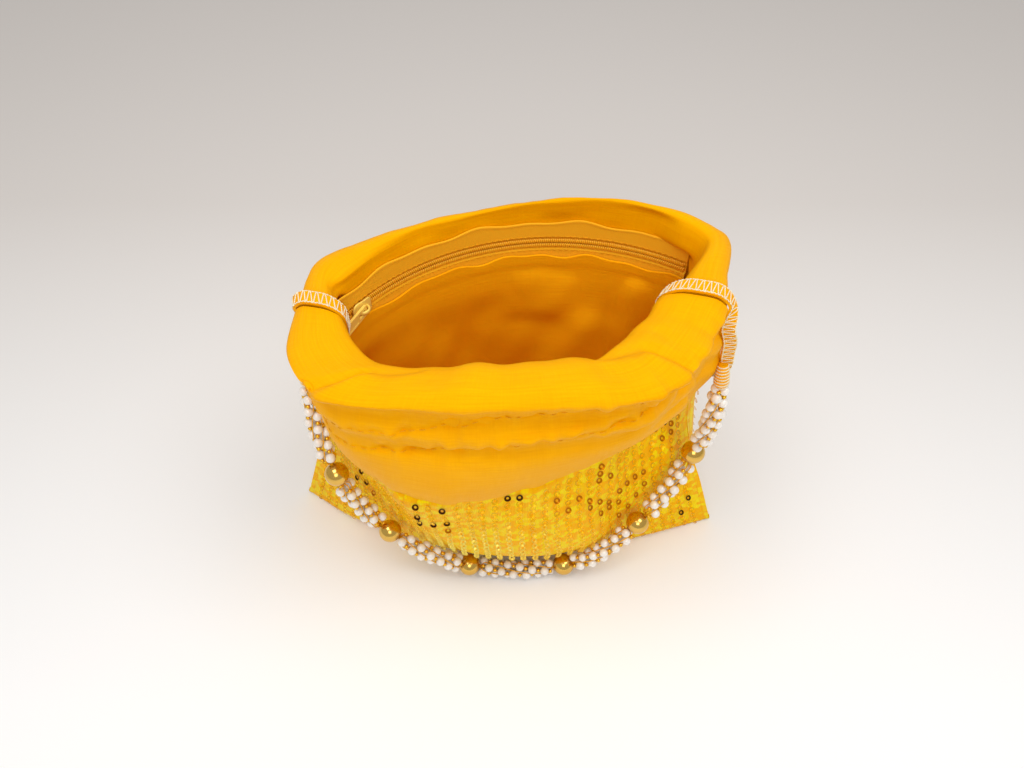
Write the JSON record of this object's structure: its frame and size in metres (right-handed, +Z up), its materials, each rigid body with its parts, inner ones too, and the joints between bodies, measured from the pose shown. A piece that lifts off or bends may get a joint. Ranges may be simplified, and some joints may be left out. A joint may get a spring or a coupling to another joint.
{
  "type": "potli bag",
  "caption": "Soft evening pouch standing open: sequinned body, rolled silk collar with a puckered channel, zip pocket inside and a beaded pearl handle.",
  "frame": {"origin": "on the flat strip in the middle of the base, beside the bottom seam", "axes": "+X to the right seam of the mouth, +Y to the back wall with the zip, +Z up"},
  "size_m": [0.2038, 0.1073, 0.1629],
  "materials": {
    "sequinned_fabric": "sheer yellow fabric over a yellow ground, with columns of ring sequins",
    "yellow_silk": "plain slub silk with a soft sheen",
    "orange_cotton": "matt woven lining",
    "zip_tape": "twill tape",
    "zip_coil": "dyed nylon coil",
    "zip_brass": "bright plated",
    "gold_bead": "polished",
    "pearl": "pearl lustre",
    "cream_thread": "overlock thread"
  },
  "bodies": {
    "bag": {"body_front_panel": "sequinned_fabric", "body_back_panel": "sequinned_fabric", "collar_front": "yellow_silk", "collar_back": "yellow_silk", "lining_front": "orange_cotton", "lining_back": "orange_cotton", "pocket_sheet": "orange_cotton", "zip_tape_upper": "zip_tape", "zip_tape_lower": "zip_tape", "zip_coil_upper": "zip_coil", "zip_coil_lower": "zip_coil", "overlock_seam_left": "cream_thread", "overlock_seam_right": "cream_thread", "handle_binding_left": "cream_thread", "handle_binding_right": "cream_thread", "pearl_strand_1": "pearl", "pearl_strand_2": "pearl", "pearl_strand_3": "pearl", "pearl_strand_4": "pearl", "pearl_strand_5": "pearl", "pearl_strand_6": "pearl", "pearl_strand_7": "pearl", "gold_bead_1": "gold_bead", "gold_bead_2": "gold_bead", "gold_bead_3": "gold_bead", "gold_bead_4": "gold_bead", "gold_bead_5": "gold_bead", "gold_bead_6": "gold_bead"},
    "slider": {"zip_slider": "zip_brass"},
    "pull_tab": {"zip_pull_tab": "zip_brass"}
  },
  "joints": [
    {"name": "slider_travel", "type": "hinge", "parent": "bag", "child": "slider", "pos_m": [0.0194, -0.0542, 0.1395], "axis": [0, 0, 1], "range_deg": [-82, 0]},
    {"name": "pull_tab_swing", "type": "hinge", "parent": "slider", "child": "pull_tab", "pos_m": [-0.05174, -0.00156, 0.1395], "axis": [0, 0, 1], "range_deg": [-9, 150]}
  ]
}
